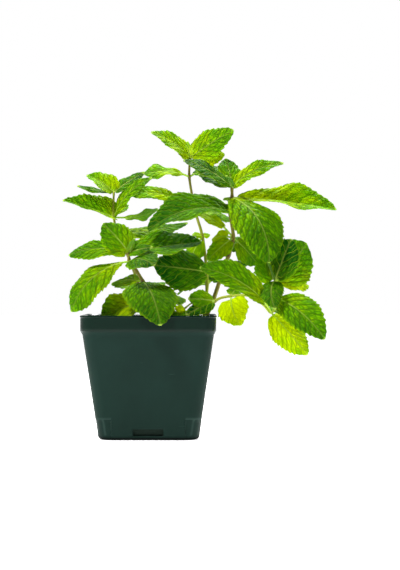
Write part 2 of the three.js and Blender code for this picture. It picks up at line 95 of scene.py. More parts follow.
def pot_profile():
    """Rows of half width, corner radius and height up the outside: a quarter-round foot, the
    straight taper, the shoulder, the upright rim band and the small round lip."""
    angle = np.linspace(0, math.pi / 2, 7)
    inset = BASE_FILLET * (1 - np.sin(angle))
    z = BASE_FILLET * (1 - np.cos(angle))
    foot = np.stack([body_half(z) - inset, BODY_CORNER - FOOT_TUCK * inset, z], -1)
    stops = [BASE_FILLET, SLOT_HIGH, RECESS_TOP - RECESS_SLOPE, RECESS_TOP, SHOULDER_Z]
    z = np.concatenate([np.linspace(a, b, n)[1:] for a, b, n in zip(stops, stops[1:], BODY_ROWS)])
    body = np.stack([body_half(z), np.full(len(z), BODY_CORNER), z], -1)
    z = np.linspace(RIM_Z + 0.2, POT_TOP - 1.7, BAND_ROWS)
    band = np.stack([np.full(BAND_ROWS, RIM_HALF), np.full(BAND_ROWS, RIM_CORNER), z], -1)
    shoulder = [
        [SHOULDER_HALF + 0.35, BODY_CORNER + 0.2, SHOULDER_Z + 0.5],
        [SHOULDER_HALF + 0.9, BODY_CORNER + 0.6, SHOULDER_Z + 1.3],
        [RIM_HALF - 0.3, RIM_CORNER, RIM_Z - 0.4],
        [RIM_HALF - 0.08, RIM_CORNER, RIM_Z - 0.15]]
    lip = [
        [RIM_HALF + LIP / 2, RIM_CORNER + LIP / 2, POT_TOP - 1.45],
        [RIM_HALF + LIP, RIM_CORNER + LIP, POT_TOP - 1.15],
        [RIM_HALF + LIP, RIM_CORNER + LIP, POT_TOP - 0.5],
        [RIM_HALF + LIP * 0.7, RIM_CORNER + LIP, POT_TOP - 0.15],
        [RIM_HALF, RIM_CORNER, POT_TOP]]
    return np.concatenate([foot, body, shoulder, band, lip])


def pot_skin():
    """Rings of the outside from the middle of the base to the lip. Below the recess top, points of a
    foot corner move in by the recess depth, which grows over a short slope."""
    near = np.concatenate([np.linspace(0, SLOT_HALF, 7), np.linspace(SLOT_HALF, RECESS_EDGE, 8)[1:]])
    share = np.linspace(0, 1, 8)[1:]
    rings = []
    for half, corner, z in pot_profile():
        edge = RECESS_EDGE + RECESS_ROUND
        across = np.concatenate([near, [edge], edge + share * (half - corner - edge)])
        ring = square_ring(half, corner, across)
        depth = RECESS_DEPTH * min(max((RECESS_TOP - z) / RECESS_SLOPE, 0), 1)
        set_in = np.abs(ring).min(1) > RECESS_EDGE + RECESS_ROUND / 2
        ring = ring * np.where(set_in, 1 - depth / half, 1)[:, None]
        rings.append(np.column_stack([ring, np.full(len(ring), z)]))
    base = [rings[0] * (part, part, 1) for part in (0.01, 0.2, 0.4, 0.6, 0.8, 0.96)]
    return np.array(base + rings)


def grid_quads(rows, columns, first=0):
    """Quads of a grid of rows by columns vertices numbered from first, joined round its columns."""
    i, j = np.meshgrid(np.arange(rows - 1), np.arange(columns), indexing="ij")
    ahead = (j + 1) % columns
    quads = np.stack([i * columns + j, i * columns + ahead,
                      (i + 1) * columns + ahead, (i + 1) * columns + j], -1)
    return first + quads.reshape(-1, 4)


def ring_caps(rows, columns, first=0):
    """The two faces that close the first and last ring of such a grid."""
    ring = np.arange(columns)
    return [first + ring[::-1][None], first + (rows - 1) * columns + ring[None]]


def make_piece(name, points, faces, material):
    """A mesh object at the origin, from points in millimetres and arrays of faces."""
    mesh = bpy.data.meshes.new(name)
    mesh.vertices.add(len(points))
    mesh.vertices.foreach_set("co", (np.asarray(points) * MM).astype(np.float32).ravel())
    sizes = np.concatenate([np.full(len(part), part.shape[1]) for part in faces])
    mesh.loops.add(int(sizes.sum()))
    corners = np.concatenate([part.ravel() for part in faces])
    mesh.loops.foreach_set("vertex_index", corners.astype(np.int32))
    mesh.polygons.add(len(sizes))
    mesh.polygons.foreach_set("loop_start", (np.cumsum(sizes) - sizes).astype(np.int32))
    mesh.polygons.foreach_set("use_smooth", np.ones(len(sizes), bool))
    mesh.update(calc_edges=True)
    mesh.materials.append(material)
    piece = bpy.data.objects.new(name, mesh)
    bpy.context.scene.collection.objects.link(piece)
    return piece


def set_values(piece, name, values, domain="POINT"):
    """Store one number for each point or face of a piece, for its material to read."""
    layer = piece.data.attributes.new(name, "FLOAT", domain)
    layer.data.foreach_set("value", np.asarray(values, np.float32))


def hex_linear(text):
    """An sRGB hex colour as linear red, green and blue with an alpha of 1."""
    value = np.array([int(text[i:i + 2], 16) for i in (0, 2, 4)]) / 255
    linear = np.where(value <= 0.04045, value / 12.92, ((value + 0.055) / 1.055) ** 2.4)
    return (*linear.tolist(), 1.0)


def add_node(tree, kind, inputs=None, **settings):
    """Add a shader node: settings are its own properties, and inputs gives each named or numbered
    socket a value, or the socket that feeds it."""
    made = tree.nodes.new(kind)
    for name, value in settings.items():
        setattr(made, name, value)
    for socket, value in (inputs or {}).items():
        if isinstance(value, bpy.types.NodeSocket):
            tree.links.new(value, made.inputs[socket])
        else:
            made.inputs[socket].default_value = value
    return made


def new_material(name):
    """A node material with nothing in it yet, and its node tree."""
    material = bpy.data.materials.new(name)
    material.use_nodes = True
    material.node_tree.nodes.clear()
    return material, material.node_tree


def moulded_polypropylene():
    """Polypropylene straight from the mould: satin, faintly cloudy where the melt flowed, with the
    fine grain of the tool, and pale scuffs where pots rubbed in the stack. The rim band is smoother
    and glossier, and its colour is darkened as painted shade. Pale lines along the foot recesses are
    painted highlights, and the foot is painted nearly black as a contact shadow."""
    material, tree = new_material("moulded_polypropylene")
    place = add_node(tree, "ShaderNodeTexCoord").outputs["Object"]
    cloud = add_node(tree, "ShaderNodeTexNoise", {"Vector": place, "Scale": 38.0, "Detail": 3.0})
    streaks = add_node(tree, "ShaderNodeMapping", {"Vector": place, "Scale": (260, 260, 25)})
    flow = add_node(tree, "ShaderNodeTexNoise", {"Vector": streaks.outputs[0], "Scale": 1.0})
    across = add_node(tree, "ShaderNodeMapping",
                      {"Vector": place, "Rotation": (0.15, 0.1, 0), "Scale": (45, 45, 900)})
    rubbed = add_node(tree, "ShaderNodeTexNoise",
                      {"Vector": across.outputs[0], "Scale": 1.0, "Detail": 4.0})
    scuff = add_node(tree, "ShaderNodeMapRange",
                     {"Value": rubbed.outputs[0], "From Min": 0.72, "From Max": 0.85})
    body = add_node(tree, "ShaderNodeMix", {0: cloud.outputs[0], 6: hex_linear("0e231d"),
                                            7: hex_linear("142d26")}, data_type="RGBA")
    worn = add_node(tree, "ShaderNodeMix", {0: scuff.outputs[0], 6: body.outputs[2],
                                            7: hex_linear("3f5e56")}, data_type="RGBA")
    level = add_node(tree, "ShaderNodeSeparateXYZ", {0: place}).outputs[2]
    # The rim band is smoother, and its colour is darkened as painted shade.
    polished_shaded_band = add_node(tree, "ShaderNodeMapRange", {
        "Value": level, "From Min": (SHOULDER_Z + 1) * MM, "From Max": (RIM_Z + 0.5) * MM}).outputs[0]
    deep = add_node(tree, "ShaderNodeMix", {0: polished_shaded_band, 6: worn.outputs[2],
                                            7: hex_linear("0a1f17")}, data_type="RGBA")
    # Pale lines along the edges of the foot recesses are painted highlights.
    recess_edge_highlight = add_node(tree, "ShaderNodeAttribute", attribute_name="recess_edge_highlight").outputs["Fac"]
    edge_highlight = add_node(tree, "ShaderNodeMix", {0: recess_edge_highlight, 6: deep.outputs[2],
                                              7: hex_linear("6f9088")}, data_type="RGBA")
    # Near the bottom the colour goes nearly black as painted contact shadow, and the specular level
    # falls to nothing.
    foot = add_node(tree, "ShaderNodeMapRange", {"Value": level, "From Min": 0.0012, "From Max": 0.0036,
                                                 "To Min": 0.9, "To Max": 0.0}).outputs[0]
    contact_shadow = add_node(tree, "ShaderNodeMix", {0: foot, 6: edge_highlight.outputs[2],
                                             7: hex_linear("020504")}, data_type="RGBA")
    rough = add_node(tree, "ShaderNodeMapRange",
                     {"Value": flow.outputs[0], "To Min": 0.5, "To Max": 0.62})
    smooth = add_node(tree, "ShaderNodeMix", {0: polished_shaded_band, 2: rough.outputs[0], 3: 0.22})
    sheen = add_node(tree, "ShaderNodeMapRange", {"Value": polished_shaded_band, "To Min": 0.1, "To Max": 0.14})
    dulled = add_node(tree, "ShaderNodeMix", {0: foot, 2: sheen.outputs[0], 3: 0.0})
    grain = add_node(tree, "ShaderNodeTexNoise", {"Vector": place, "Scale": 1400.0, "Detail": 2.0})
    bump = add_node(tree, "ShaderNodeBump",
                    {"Height": grain.outputs[0], "Strength": 0.12, "Distance": 0.00015})
    surface = add_node(tree, "ShaderNodeBsdfPrincipled", {
        "Base Color": contact_shadow.outputs[2], "Roughness": smooth.outputs[0], "IOR": 1.49,
        "Specular IOR Level": dulled.outputs[0], "Normal": bump.outputs[0]})
    add_node(tree, "ShaderNodeOutputMaterial", {"Surface": surface.outputs[0]})
    return material


skin = pot_skin()
ring_size = skin.shape[1]
skin = skin.reshape(-1, 3)
wall_quads = grid_quads(len(skin) // ring_size, ring_size)
middle = skin[wall_quads].mean(1)
in_slot = (middle[:, 2] > BASE_FILLET) & (middle[:, 2] < SLOT_HIGH)
in_slot &= np.abs(middle[:, :2]).min(1) < SLOT_HALF
base_cap = np.arange(ring_size)[None, ::-1]
pot = make_piece("nursery_pot", skin, [wall_quads[~in_slot], base_cap], moulded_polypropylene())
# Painted highlight along the recess top, up its inner side and at two bends of each foot corner.
reach = np.abs(skin[:, :2]).min(1) - RECESS_EDGE
at_top = (np.abs(skin[:, 2] - RECESS_TOP) < 0.3) & (reach > RECESS_ROUND / 2)
at_side = (np.abs(reach - RECESS_ROUND) < 0.1) & (skin[:, 2] < RECESS_TOP) & (skin[:, 2] > BASE_FILLET)
per_side = ring_size // 4
at_bend = np.isin(np.arange(len(skin)) % per_side, per_side - np.array(RECESS_BENDS))
at_bend &= (skin[:, 2] < RECESS_TOP) & (skin[:, 2] > BASE_FILLET)
set_values(pot, "recess_edge_highlight", 0.09 * at_top + 0.08 * at_side + 0.08 * at_bend)
wall = pot.modifiers.new("wall", "SOLIDIFY")
wall.thickness = POT_WALL * MM
wall.offset = -1
pot.data.set_sharp_from_angle(angle=math.radians(POT_SHARP))
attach(pot, "root")
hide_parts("pot")

# ==== potting soil ===========================================================================
# Peat and composted bark with a little perlite, pressed down by watering to 13 mm under the rim.
# It is one body of soil, with loose crumbs, bark chips and white grains lying on top.
SOIL_TOP = 84.0
SOIL_CLEARANCE = 0.3
SOIL_FLOOR = 2.5
SOIL_SINK = 0.6
SOIL_RISE = 0.8
SOIL_WAVES = 20
WAVE_STEEPNESS = 0.013
SOIL_SEED = 4
CRUMBS = 1500
CRUMB_SIZES = (0.7, 3.4)
CRUMB_SEED = 11
GRAINS = 90
GRAIN_SIZES = (1.3, 3.2)
GRAIN_SEED = 12


def soil_height(x, y):
    """Height of the soil: the level plus waves from long to short, each in a seeded direction and as
    high as its length times the steepness, and a slight rise to the wall, where watering leaves a
    rim."""
    draw = np.random.default_rng(SOIL_SEED)
    height = SOIL_TOP - SOIL_SINK + SOIL_RISE * np.maximum(np.abs(x), np.abs(y)) ** 4 / 49 ** 4
    for length in np.geomspace(34, 3.2, SOIL_WAVES):
        turn, shift = draw.uniform(0, 2 * math.pi, 2)
        wave = np.sin(2 * math.pi * (x * math.cos(turn) + y * math.sin(turn)) / length + shift)
        height = height + WAVE_STEEPNESS * length * wave
    return height


def soil_body():
    """Rings from the middle of the bottom out, up the wall inside the pot, and in over the top."""
    fit = POT_WALL + SOIL_CLEARANCE
    share = np.linspace(0, 1, 22)
    rings = []
    for part in (0.01, 0.5, 1):
        half = part * (body_half(SOIL_FLOOR) - fit - 1.5)
        rings.append((half, part * (BODY_CORNER - fit), SOIL_FLOOR))
    for z in (SOIL_FLOOR + 3, 20, 40, 60, 74, SHOULDER_Z - 0.5):
        rings.append((body_half(z) - fit, BODY_CORNER - fit, z))
    for part in np.linspace(0.985, 0.01, 52):
        rings.append((part * (SHOULDER_HALF - fit), part * (BODY_CORNER - fit), None))
    points = []
    for half, corner, z in rings:
        ring = square_ring(half, corner, share * (half - corner))
        level = soil_height(ring[:, 0], ring[:, 1]) if z is None else np.full(len(ring), z)
        points.append(np.column_stack([ring, level]))
    return np.array(points)


def lumps(count, low, high, seed):
    """Irregular lumps scattered on the soil: an icosahedron whose corners are pushed in and out,
    stretched to three seeded sizes between low and high, turned, and half sunk into the surface."""
    draw = np.random.default_rng(seed)
    ball = bmesh.new()
    bmesh.ops.create_icosphere(ball, subdivisions=1, radius=0.5)
    corners = np.array([v.co[:] for v in ball.verts])
    faces = np.array([[v.index for v in f.verts] for f in ball.faces])
    ball.free()
    size = draw.uniform(low, high, (count, 3))
    shape = corners * draw.uniform(0.75, 1.2, (count, len(corners), 1)) * size[:, None]
    turn = np.linalg.qr(draw.normal(size=(count, 3, 3)))[0]
    turn *= np.sign(np.linalg.det(turn))[:, None, None]
    turn[:, :, 2] = 0.5 * turn[:, :, 2] + 0.5 * np.sign(turn[:, 2:, 2]) * (0, 0, 1)
    spot = draw.uniform(-1, 1, (count, 2)) * (SHOULDER_HALF - POT_WALL - 3)
    level = soil_height(spot[:, 0], spot[:, 1]) + 0.15 * size[:, 2]
    points = np.einsum("nij,nkj->nki", turn, shape) + np.column_stack([spot, level])[:, None]
    faces = faces[None] + len(corners) * np.arange(count)[:, None, None]
    return points.reshape(-1, 3), faces.reshape(-1, 3), draw.uniform(0, 1, count)


def peat_and_bark():
    """Damp peat and composted bark: matt, nearly black in the hollows, with browner fibrous bits.
    Low in the pot, where the drain slots look in, the colour is darkened to a dark green-grey as
    painted shade."""
    material, tree = new_material("peat_and_bark")
    place = add_node(tree, "ShaderNodeTexCoord").outputs["Object"]
    kind = add_node(tree, "ShaderNodeAttribute", attribute_name="kind").outputs["Fac"]
    mottle = add_node(tree, "ShaderNodeTexNoise", {"Vector": place, "Scale": 420.0, "Detail": 6.0})
    bark = add_node(tree, "ShaderNodeMix", {0: kind, 6: hex_linear("2a1c13"),
                                            7: hex_linear("6b4a2e")}, data_type="RGBA")
    shade = add_node(tree, "ShaderNodeMapRange",
                     {"Value": mottle.outputs[0], "From Min": 0.35, "From Max": 0.65})
    peat = add_node(tree, "ShaderNodeMix", {0: shade.outputs[0], 6: hex_linear("1a110b"),
                                            7: bark.outputs[2]}, data_type="RGBA")
    level = add_node(tree, "ShaderNodeSeparateXYZ", {0: place}).outputs[2]
    # Below about 20 mm the colour turns dark green-grey, as painted shade in the drain slots.
    clear_of_slot_shade = add_node(tree, "ShaderNodeMapRange", {"Value": level, "From Min": 0.02, "From Max": 0.07})
    colour = add_node(tree, "ShaderNodeMix", {0: clear_of_slot_shade.outputs[0], 6: hex_linear("18261f"),
                                              7: peat.outputs[2]}, data_type="RGBA")
    bump = add_node(tree, "ShaderNodeBump",
                    {"Height": mottle.outputs[0], "Strength": 0.9, "Distance": 0.0006})
    surface = add_node(tree, "ShaderNodeBsdfPrincipled", {
        "Base Color": colour.outputs[2], "Roughness": 0.95, "Normal": bump.outputs[0]})
    surface.inputs["Specular IOR Level"].default_value = 0.2
    add_node(tree, "ShaderNodeOutputMaterial", {"Surface": surface.outputs[0]})
    return material


def expanded_perlite():
    """Perlite, volcanic glass popped by heat: chalky white, pitted, stained a little by the peat."""
    material, tree = new_material("expanded_perlite")
    place = add_node(tree, "ShaderNodeTexCoord").outputs["Object"]
    pits = add_node(tree, "ShaderNodeTexVoronoi", {"Vector": place, "Scale": 1500.0})
    stain = add_node(tree, "ShaderNodeTexNoise", {"Vector": place, "Scale": 500.0})
    colour = add_node(tree, "ShaderNodeMix", {0: stain.outputs[0], 6: hex_linear("f1ede2"),
                                              7: hex_linear("b9ab93")}, data_type="RGBA")
    bump = add_node(tree, "ShaderNodeBump",
                    {"Height": pits.outputs["Distance"], "Strength": 0.6, "Distance": 0.0003})
    surface = add_node(tree, "ShaderNodeBsdfPrincipled", {
        "Base Color": colour.outputs[2], "Roughness": 0.9, "Normal": bump.outputs[0]})
    add_node(tree, "ShaderNodeOutputMaterial", {"Surface": surface.outputs[0]})
    return material


soil_rings = soil_body()
rows, ring_size = soil_rings.shape[:2]
soil_skin = [grid_quads(rows, ring_size), *ring_caps(rows, ring_size)]
soil_material = peat_and_bark()
soil = make_piece("potting_soil", soil_rings.reshape(-1, 3), soil_skin, soil_material)
set_values(soil, "kind", np.full(rows * ring_size, 0.25))
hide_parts("soil")
crumb_points, crumb_faces, crumb_kind = lumps(CRUMBS, *CRUMB_SIZES, CRUMB_SEED)
crumbs = make_piece("soil_crumbs", crumb_points, [crumb_faces], soil_material)
set_values(crumbs, "kind", np.repeat(crumb_kind ** 2, len(crumb_points) // CRUMBS))
grain_points, grain_faces, grain_kind = lumps(GRAINS, *GRAIN_SIZES, GRAIN_SEED)
grains = make_piece("perlite_grains", grain_points, [grain_faces], expanded_perlite())
for piece in (soil, crumbs, grains):
    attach(piece, "root")

# ==== mint stems =============================================================================
# Six square mint stems stand in the soil. Each runs through its nodes, listed upwards in
# millimetres, where a pair of leaves sits and the stem swells. Old growth is flushed purple-brown.
# blush is how flushed the foot and the tip of the stem are. A leaf is its node, tip x, y and z,
# width, crest, roll, twist, arch, sway, fold, stalk, ruffle and tone. crest is the share of the
# blade's length at which it is widest. roll turns the blade about its own length, and twist is how
# much more it is turned at the tip than at the stem. arch is the angle it bends through, sway is how
# far its middle stands off sideways, and fold is how far each half is raised. stalk is the bare
# length, ruffle is the height of the margin's waves, and tone runs from 0, dark, to 1, lime.
# Besides the leaf's age, tone holds painted light and shade: leaves lit through from behind are set
# lime, and leaves in shade are set dark.
STEM_ROOT = 74.0
STEM_TAPER = 0.45
NODE_SWELL = 0.28
STALK_STEPS = 14
STALK_SIDES = 24
FIBRE_LENGTH = 40
STEMS = {
    "back_stem": {
        "radius": 1.6, "blush": (0, 0.9),
        "nodes": [[43, 20, 92], [45.8, 21, 121], [42, 22, 160], [37, 22, 178], [31.5, 21, 208],
                  [32, 20, 223]],
        "leaves": [
            [5, 1, 8, 243, 24, 0.3, 48, 0, 45, 0, 15, 2, 0.9, 0.68],
            [5, 67, 10, 245, 31, 0.34, -60, 0, 15, 0, 8, 3, 1, 0.56],
            [5, 60, 22, 226, 22, 0.38, -55, 0, 25, 0, 0, 3, 0.9, 0.9],
            [5, 30, 14, 236, 9, 0.38, 20, 0, 10, 0, 15, 0, 0.4, 0.8],
            [4, -5, 16, 210, 20, 0.68, 35, 0, 50, 0, 10, 3, 1.8, 0.65],
            [4, 66, 38, 213, 15, 0.38, -20, 0, 55, 0, 5, 5, 1, 0.25],
            [3, -16, 24, 194, 18, 0.68, 42, 0, 80, 0, 10, 8, 0.9, 0.68],
            [3, 70, 48, 172, 20, 0.38, -30, 0, 40, 0, 5, 6, 1, 0.5],
            [2, 34, 16, 161, 7, 0.38, 50, 0, 40, 0, 5, 1, 0.3, 0.7],
            [2, 48, 24, 161, 6, 0.38, -50, 0, 40, 0, 5, 1, 0.3, 0.7],
            [2, 30, 26, 136, 22, 0.38, 62, 0, 20, 0, 5, 4, 0.8, 0.55],
            [1, 22, 48, 113, 20, 0.38, 20, 0, 40, 0, 5, 6, 1, 0.3],
            [1, 73, 48, 135, 20, 0.38, -20, 0, 40, 0, 5, 6, 1, 0.3],
            [1, 52, 58, 142, 20, 0.38, 10, 0, 40, 0, 5, 4, 0.8, 0.4],
            [5, 42, 40, 236, 18, 0.38, 0, 0, 30, 0, 10, 2, 0.8, 0.5],
        ],
    },
    "tall_stem": {
        "radius": 2, "blush": (0.75, 0.75),
        "nodes": [[43, 2, 90], [50, 1, 107], [57.5, 0, 129], [63, -1, 145], [66.5, -2, 158],
                  [64, -3, 179], [65.5, -3, 190], [65.5, -3, 198]],
        "leaves": [
            [7, 27, -14, 219, 24, 0.48, 36, 0, 35, 0, 8, 3, 1, 0.2],
            [7, 39, 6, 209, 17, 0.38, 25, 0, 20, 0, 5, 4, 0.8, 0.25],
            [7, 61, 14, 222, 20, 0.45, 0, 0, 25, 0, 12, 2, 0.8, 0.5],
            [7, 106, -10, 217, 19, 0.36, -46, 0, 62, 0, 15, 3, 1.2, 0.6],
            [7, 61, -12, 207, 8, 0.38, 10, 0, 20, 0, 15, 1, 0.4, 0.28],
            [7, 71, 2, 206, 8, 0.38, -10, 0, 20, 0, 15, 1, 0.4, 0.35],
            [6, 94, -34, 138, 43, 0.5, -16, 0, 70, 4, 0, 3, 1.4, 0.45],
            [6, 78, 42, 181, 24, 0.38, 0, 0, 40, 0, 5, 5, 1, 0.5],
            [6, 149, 8, 181, 38, 0.6, -37, 0, 14, 0, 33, 4, 2.4, 0.66],
            [5, -1, -18, 163, 44, 0.42, 30, 0, 68, 0, 24, 4, 2.2, 0.3],
            [4, 50, 8, 157, 16, 0.38, 50, 0, 70, 0, 5, 5, 0.8, 1],
            [4, 38, 6, 178, 15, 0.38, 25, 0, 50, 0, 5, 12, 0.6, 0.85],
            [4, 46, -12, 140, 17, 0.42, 50, 0, 40, 0, 0, 4, 0.8, 0.62],
            [4, 86, 6, 137, 24, 0.42, -60, 0, 25, 0, 0, 5, 1.2, 0.52],
            [2, 4, -22, 136, 35, 0.42, 75, 0, 20, 0, -6, 16, 1.4, 0.16],
            [2, 77, 30, 139, 16, 0.38, -20, 0, 40, 0, 0, 6, 0.8, 0.3],
            [3, 80, 46, 160, 22, 0.38, 0, 0, 40, 0, 5, 5, 0.9, 0.4],
            [5, 54, 38, 186, 20, 0.38, 0, 0, 30, 0, 5, 4, 0.8, 0.4],
            [7, 80, 30, 208, 16, 0.38, 0, 0, 30, 0, 8, 3, 0.8, 0.4],
        ],
    },
    "left_stem": {
        "radius": 1.5, "blush": (0.85, 0.5),
        "nodes": [[2, 12, 90], [-7, 12, 115], [-18, 12, 145], [-26, 11, 162], [-29, 10, 175],
                  [-29, 9, 195]],
        "leaves": [
            [4, -69, -2, 188, 34, 0.18, 40, 0, 12, 0, 38, 2, 0.9, 0.52],
            [5, -5, 24, 212, 14, 0.38, -30, 0, 15, 0, 8, 1, 0.8, 0.25],
            [4, 2, -2, 206, 18, 0.42, -50, 0, 45, 2, 10, 1, 0.8, 0.55],
            [5, -51, 18, 209, 24, 0.28, 32, 0, 40, 0, 30, 1, 0.8, 0.62],
            [5, -58, 6, 200, 12, 0.55, 24, 0, -15, 0, 8, 2, 0.4, 0.35],
            [4, 6, 18, 182, 18, 0.6, 25, 0, -35, 0, 5, 8, 1.4, 0.5],
            [4, -26, 50, 187, 20, 0.38, 0, 0, 40, 0, 8, 6, 1, 0.5],
            [3, 30, 30, 171, 20, 0.38, -30, 0, -16, 0, 5, 6, 0.8, 0.5],
            [3, -36, 48, 160, 16, 0.38, 40, 0, 20, 0, 5, 5, 0.8, 0.4],
            [2, -4, 46, 155, 20, 0.38, 0, 0, 30, 0, 5, 5, 0.8, 0.4],
            [2, -34, 46, 149, 18, 0.38, 0, 0, 30, 0, 5, 5, 0.8, 0.4],
            [1, -24, 48, 118, 20, 0.38, 0, 0, 35, 0, 5, 5, 0.8, 0.4],
            [1, 10, 48, 122, 20, 0.38, 0, 0, 35, 0, 5, 5, 0.8, 0.4],
        ],
    },
    "front_stem": {
        "radius": 1.8, "blush": (0.9, 0.7),
        "nodes": [[8, -14, 90], [2, -19, 107], [-4.5, -22, 123], [-10, -22, 132], [-15.5, -22, 139],
                  [-15.5, -22, 146]],
        "leaves": [
            [5, -36, -20, 169, 28, 0.38, 60, 0, 25, 0, 5, 2, 1, 0.5],
            [5, -63, -18, 144, 26, 0.55, 34, 0, 50, 0, 6, 4, 0.8, 0.5],
            [5, 41, -6, 155, 38, 0.45, -32, 0, 6, 0, 24, 3, 1.6, 0.34],
            [4, 5, -44, 136, 28, 0.5, -28, 0, 60, 0, 5, 2, 1, 0.3],
            [5, -21, -16, 156, 8, 0.38, 20, 0, 10, 0, 15, 0, 0.4, 0.55],
            [5, -11, -28, 157, 9, 0.38, -10, 0, 10, 0, 15, 0, 0.4, 0.5],
            [5, 3, -32, 150, 13, 0.38, -45, 0, 20, 0, 5, 1, 0.5, 0.3],
            [4, -60, -34, 100, 30, 0.6, 38, 0, 80, -2, -4, 6, 1.8, 0.58],
            [2, 10, -65, 90, 43, 0.33, -6, 0, 50, 0.5, -3, 1.5, 1, 0.36],
            [2, -30, 6, 122, 20, 0.38, 30, 0, 30, 0, 5, 6, 0.8, 0.6],
            [1, -37, -26, 97, 31, 0.5, 48, 0, 30, 0, 20, 12, 0.9, 0.75],
            [1, 28, 16, 109, 20, 0.38, -30, 0, 40, 0, 0, 8, 0.8, 0.6],
        ],
    },
    "arching_stem": {
        "radius": 1.3, "blush": (0.8, 0),
        "nodes": [[43.5, -12, 90], [52, -15, 108], [64.5, -18, 112], [79.5, -21, 112], [89, -23, 106],
                  [96, -24, 99], [100, -20, 110], [99, -18, 124]],
        "leaves": [
            [5, 40, -42, 134, 32, 0.46, 54, 0, 68, 0, 24, 14, 1.2, 0.52],
            [5, 123, -48, 67, 28, 0.36, -50, 0, 20, 0, -30, 3, 1.4, 0.9],
            [6, 136, -52, 79, 30, 0.42, -45, 0, 50, 2, 18, 6, 1.2, 0.46],
            [7, 98, -46, 102, 20, 0.36, 0, 0, 40, -3, 0, 2, 0.8, 0.28],
            [7, 127, 12, 120, 22, 0.38, -40, 0, 30, 0, 0, 4, 0.9, 1],
            [7, 125, 4, 154, 40, 0.45, -70, 0, 20, -1, 5, 3, 1.4, 0.48],
            # This dark leaf, set before the big round leaf, is painted shade: it stands in for the
            # round leaf's shaded inside.
            [7, 112, -14, 157, 28, 0.42, -60, 0, 15, 0, 5, 3, 0.9, 0.12],
            [7, 91, -24, 143, 7, 0.38, 20, 0, 10, 0, 15, 1, 0.3, 0.35],
            [7, 88, -6, 147, 24, 0.32, 45, 0, 15, 0, 5, 2, 0.8, 0.42],
            [2, 72, -26, 89, 26, 0.3, -60, 0, 20, -2, 0, 3, 1, 1],
            [2, 69, 6, 117, 12, 0.38, -20, 0, 30, 0, 0, 3, 0.6, 0.5],
            [1, 31, -28, 110, 18, 0.38, 65, 0, 20, 0, 0, 2, 0.8, 0.45],
            [1, 29, -34, 97, 14, 0.38, 40, 0, 20, 0, 0, 3, 0.6, 0.1],
            [5, 118, 8, 98, 22, 0.38, -20, 0, 40, 0, 0, 4, 0.9, 0.4],
            [3, 82, 12, 121, 18, 0.38, 0, 0, 30, 0, 0, 4, 0.8, 0.3],
        ],
    },
    "low_stem": {
        "radius": 0.9, "blush": (0.4, 0.2),
        "nodes": [[21, -5, 88], [24, -6, 98], [29, -8, 103], [34, -10, 106.5], [39, -12, 107]],
        "leaves": [
            [1, 25, -16, 105, 9, 0.38, 20, 0, 20, 0, 5, 1, 0.3, 1],
            [3, 38, -6, 111, 6, 0.38, -20, 0, 20, 0, 5, 1, 0.3, 1],
            [4, 46, -14, 108, 8, 0.38, -20, 0, 20, 0, 5, 1, 0.3, 0.9],
            [1, 33, -18, 98, 10, 0.38, -30, 0, 30, 0, 5, 2, 0.3, 0.5],
            [1, 15, -12, 98, 10, 0.38, 30, 0, 30, 0, 5, 2, 0.3, 0.5],
        ],
    },
}


def stem_path(nodes, radius, per_span):
    """Centre points of a stem, their distance along it, and how near each is to a node: a centripetal
    Catmull-Rom spline, in which each span is a cubic whose end slopes are worked out from the square
    roots of the distances between neighbouring points."""
    root = nodes[0][:2]
    points = np.array([[*root, STEM_ROOT], [*root, SOIL_TOP - 1], *nodes], float)
    points = np.concatenate([[2 * points[0] - points[1]], points, [2 * points[-1] - points[-2]]])
    before, start, end, after = points[:-3], points[1:-2], points[2:-1], points[3:]
    gap = [np.linalg.norm(b - a, axis=1, keepdims=True) ** 0.5
           for a, b in ((before, start), (start, end), (end, after))]
    leave = ((start - before) / gap[0] - (end - before) / (gap[0] + gap[1])
             + (end - start) / gap[1]) * gap[1]
    arrive = ((end - start) / gap[1] - (after - start) / (gap[1] + gap[2])
              + (after - end) / gap[2]) * gap[1]
    t = np.linspace(0, 1, per_span, endpoint=False)[None, :, None]
    start, end, leave, arrive = start[:, None], end[:, None], leave[:, None], arrive[:, None]
    spans = (start + leave * t + (-3 * start + 3 * end - 2 * leave - arrive) * t ** 2
             + (2 * start - 2 * end + leave + arrive) * t ** 3)
    line = np.concatenate([spans.reshape(-1, 3), points[-2:-1]])
    span = np.arange(len(line)) / per_span
    run = np.append(0, np.cumsum(np.linalg.norm(np.diff(line, axis=0), axis=1)))
    at_node = np.abs(run[:, None] - run[2 * per_span::per_span][None]).min(1)
    swell = 1 + NODE_SWELL * np.exp(-(at_node / (1.3 * radius)) ** 2)
    return line, run, span / span[-1], swell


def stem_skin(nodes, radius):
    """A square section with rounded corners carried along the stem's path. It narrows by the taper
    to the tip and swells at the nodes."""
    line, run, at, swell = stem_path(nodes, radius, STALK_STEPS)
    along = np.gradient(line, axis=0)
    along /= np.linalg.norm(along, axis=1, keepdims=True)
    across = np.cross((0, 1, 0), along)
    across /= np.linalg.norm(across, axis=1, keepdims=True)
    depth = np.cross(along, across)
    turn = np.linspace(0, 2 * math.pi, STALK_SIDES, endpoint=False)
    square = 1 / (np.abs(np.cos(turn)) ** 1.5 + np.abs(np.sin(turn)) ** 1.5) ** (1 / 1.5)
    size = radius * (1 - STEM_TAPER * at) * swell
    offset = size[:, None] * square[None]
    ring = offset[..., None] * (np.cos(turn)[None, :, None] * across[:, None]
                                + np.sin(turn)[None, :, None] * depth[:, None])
    return line[:, None] + ring, run, at, swell


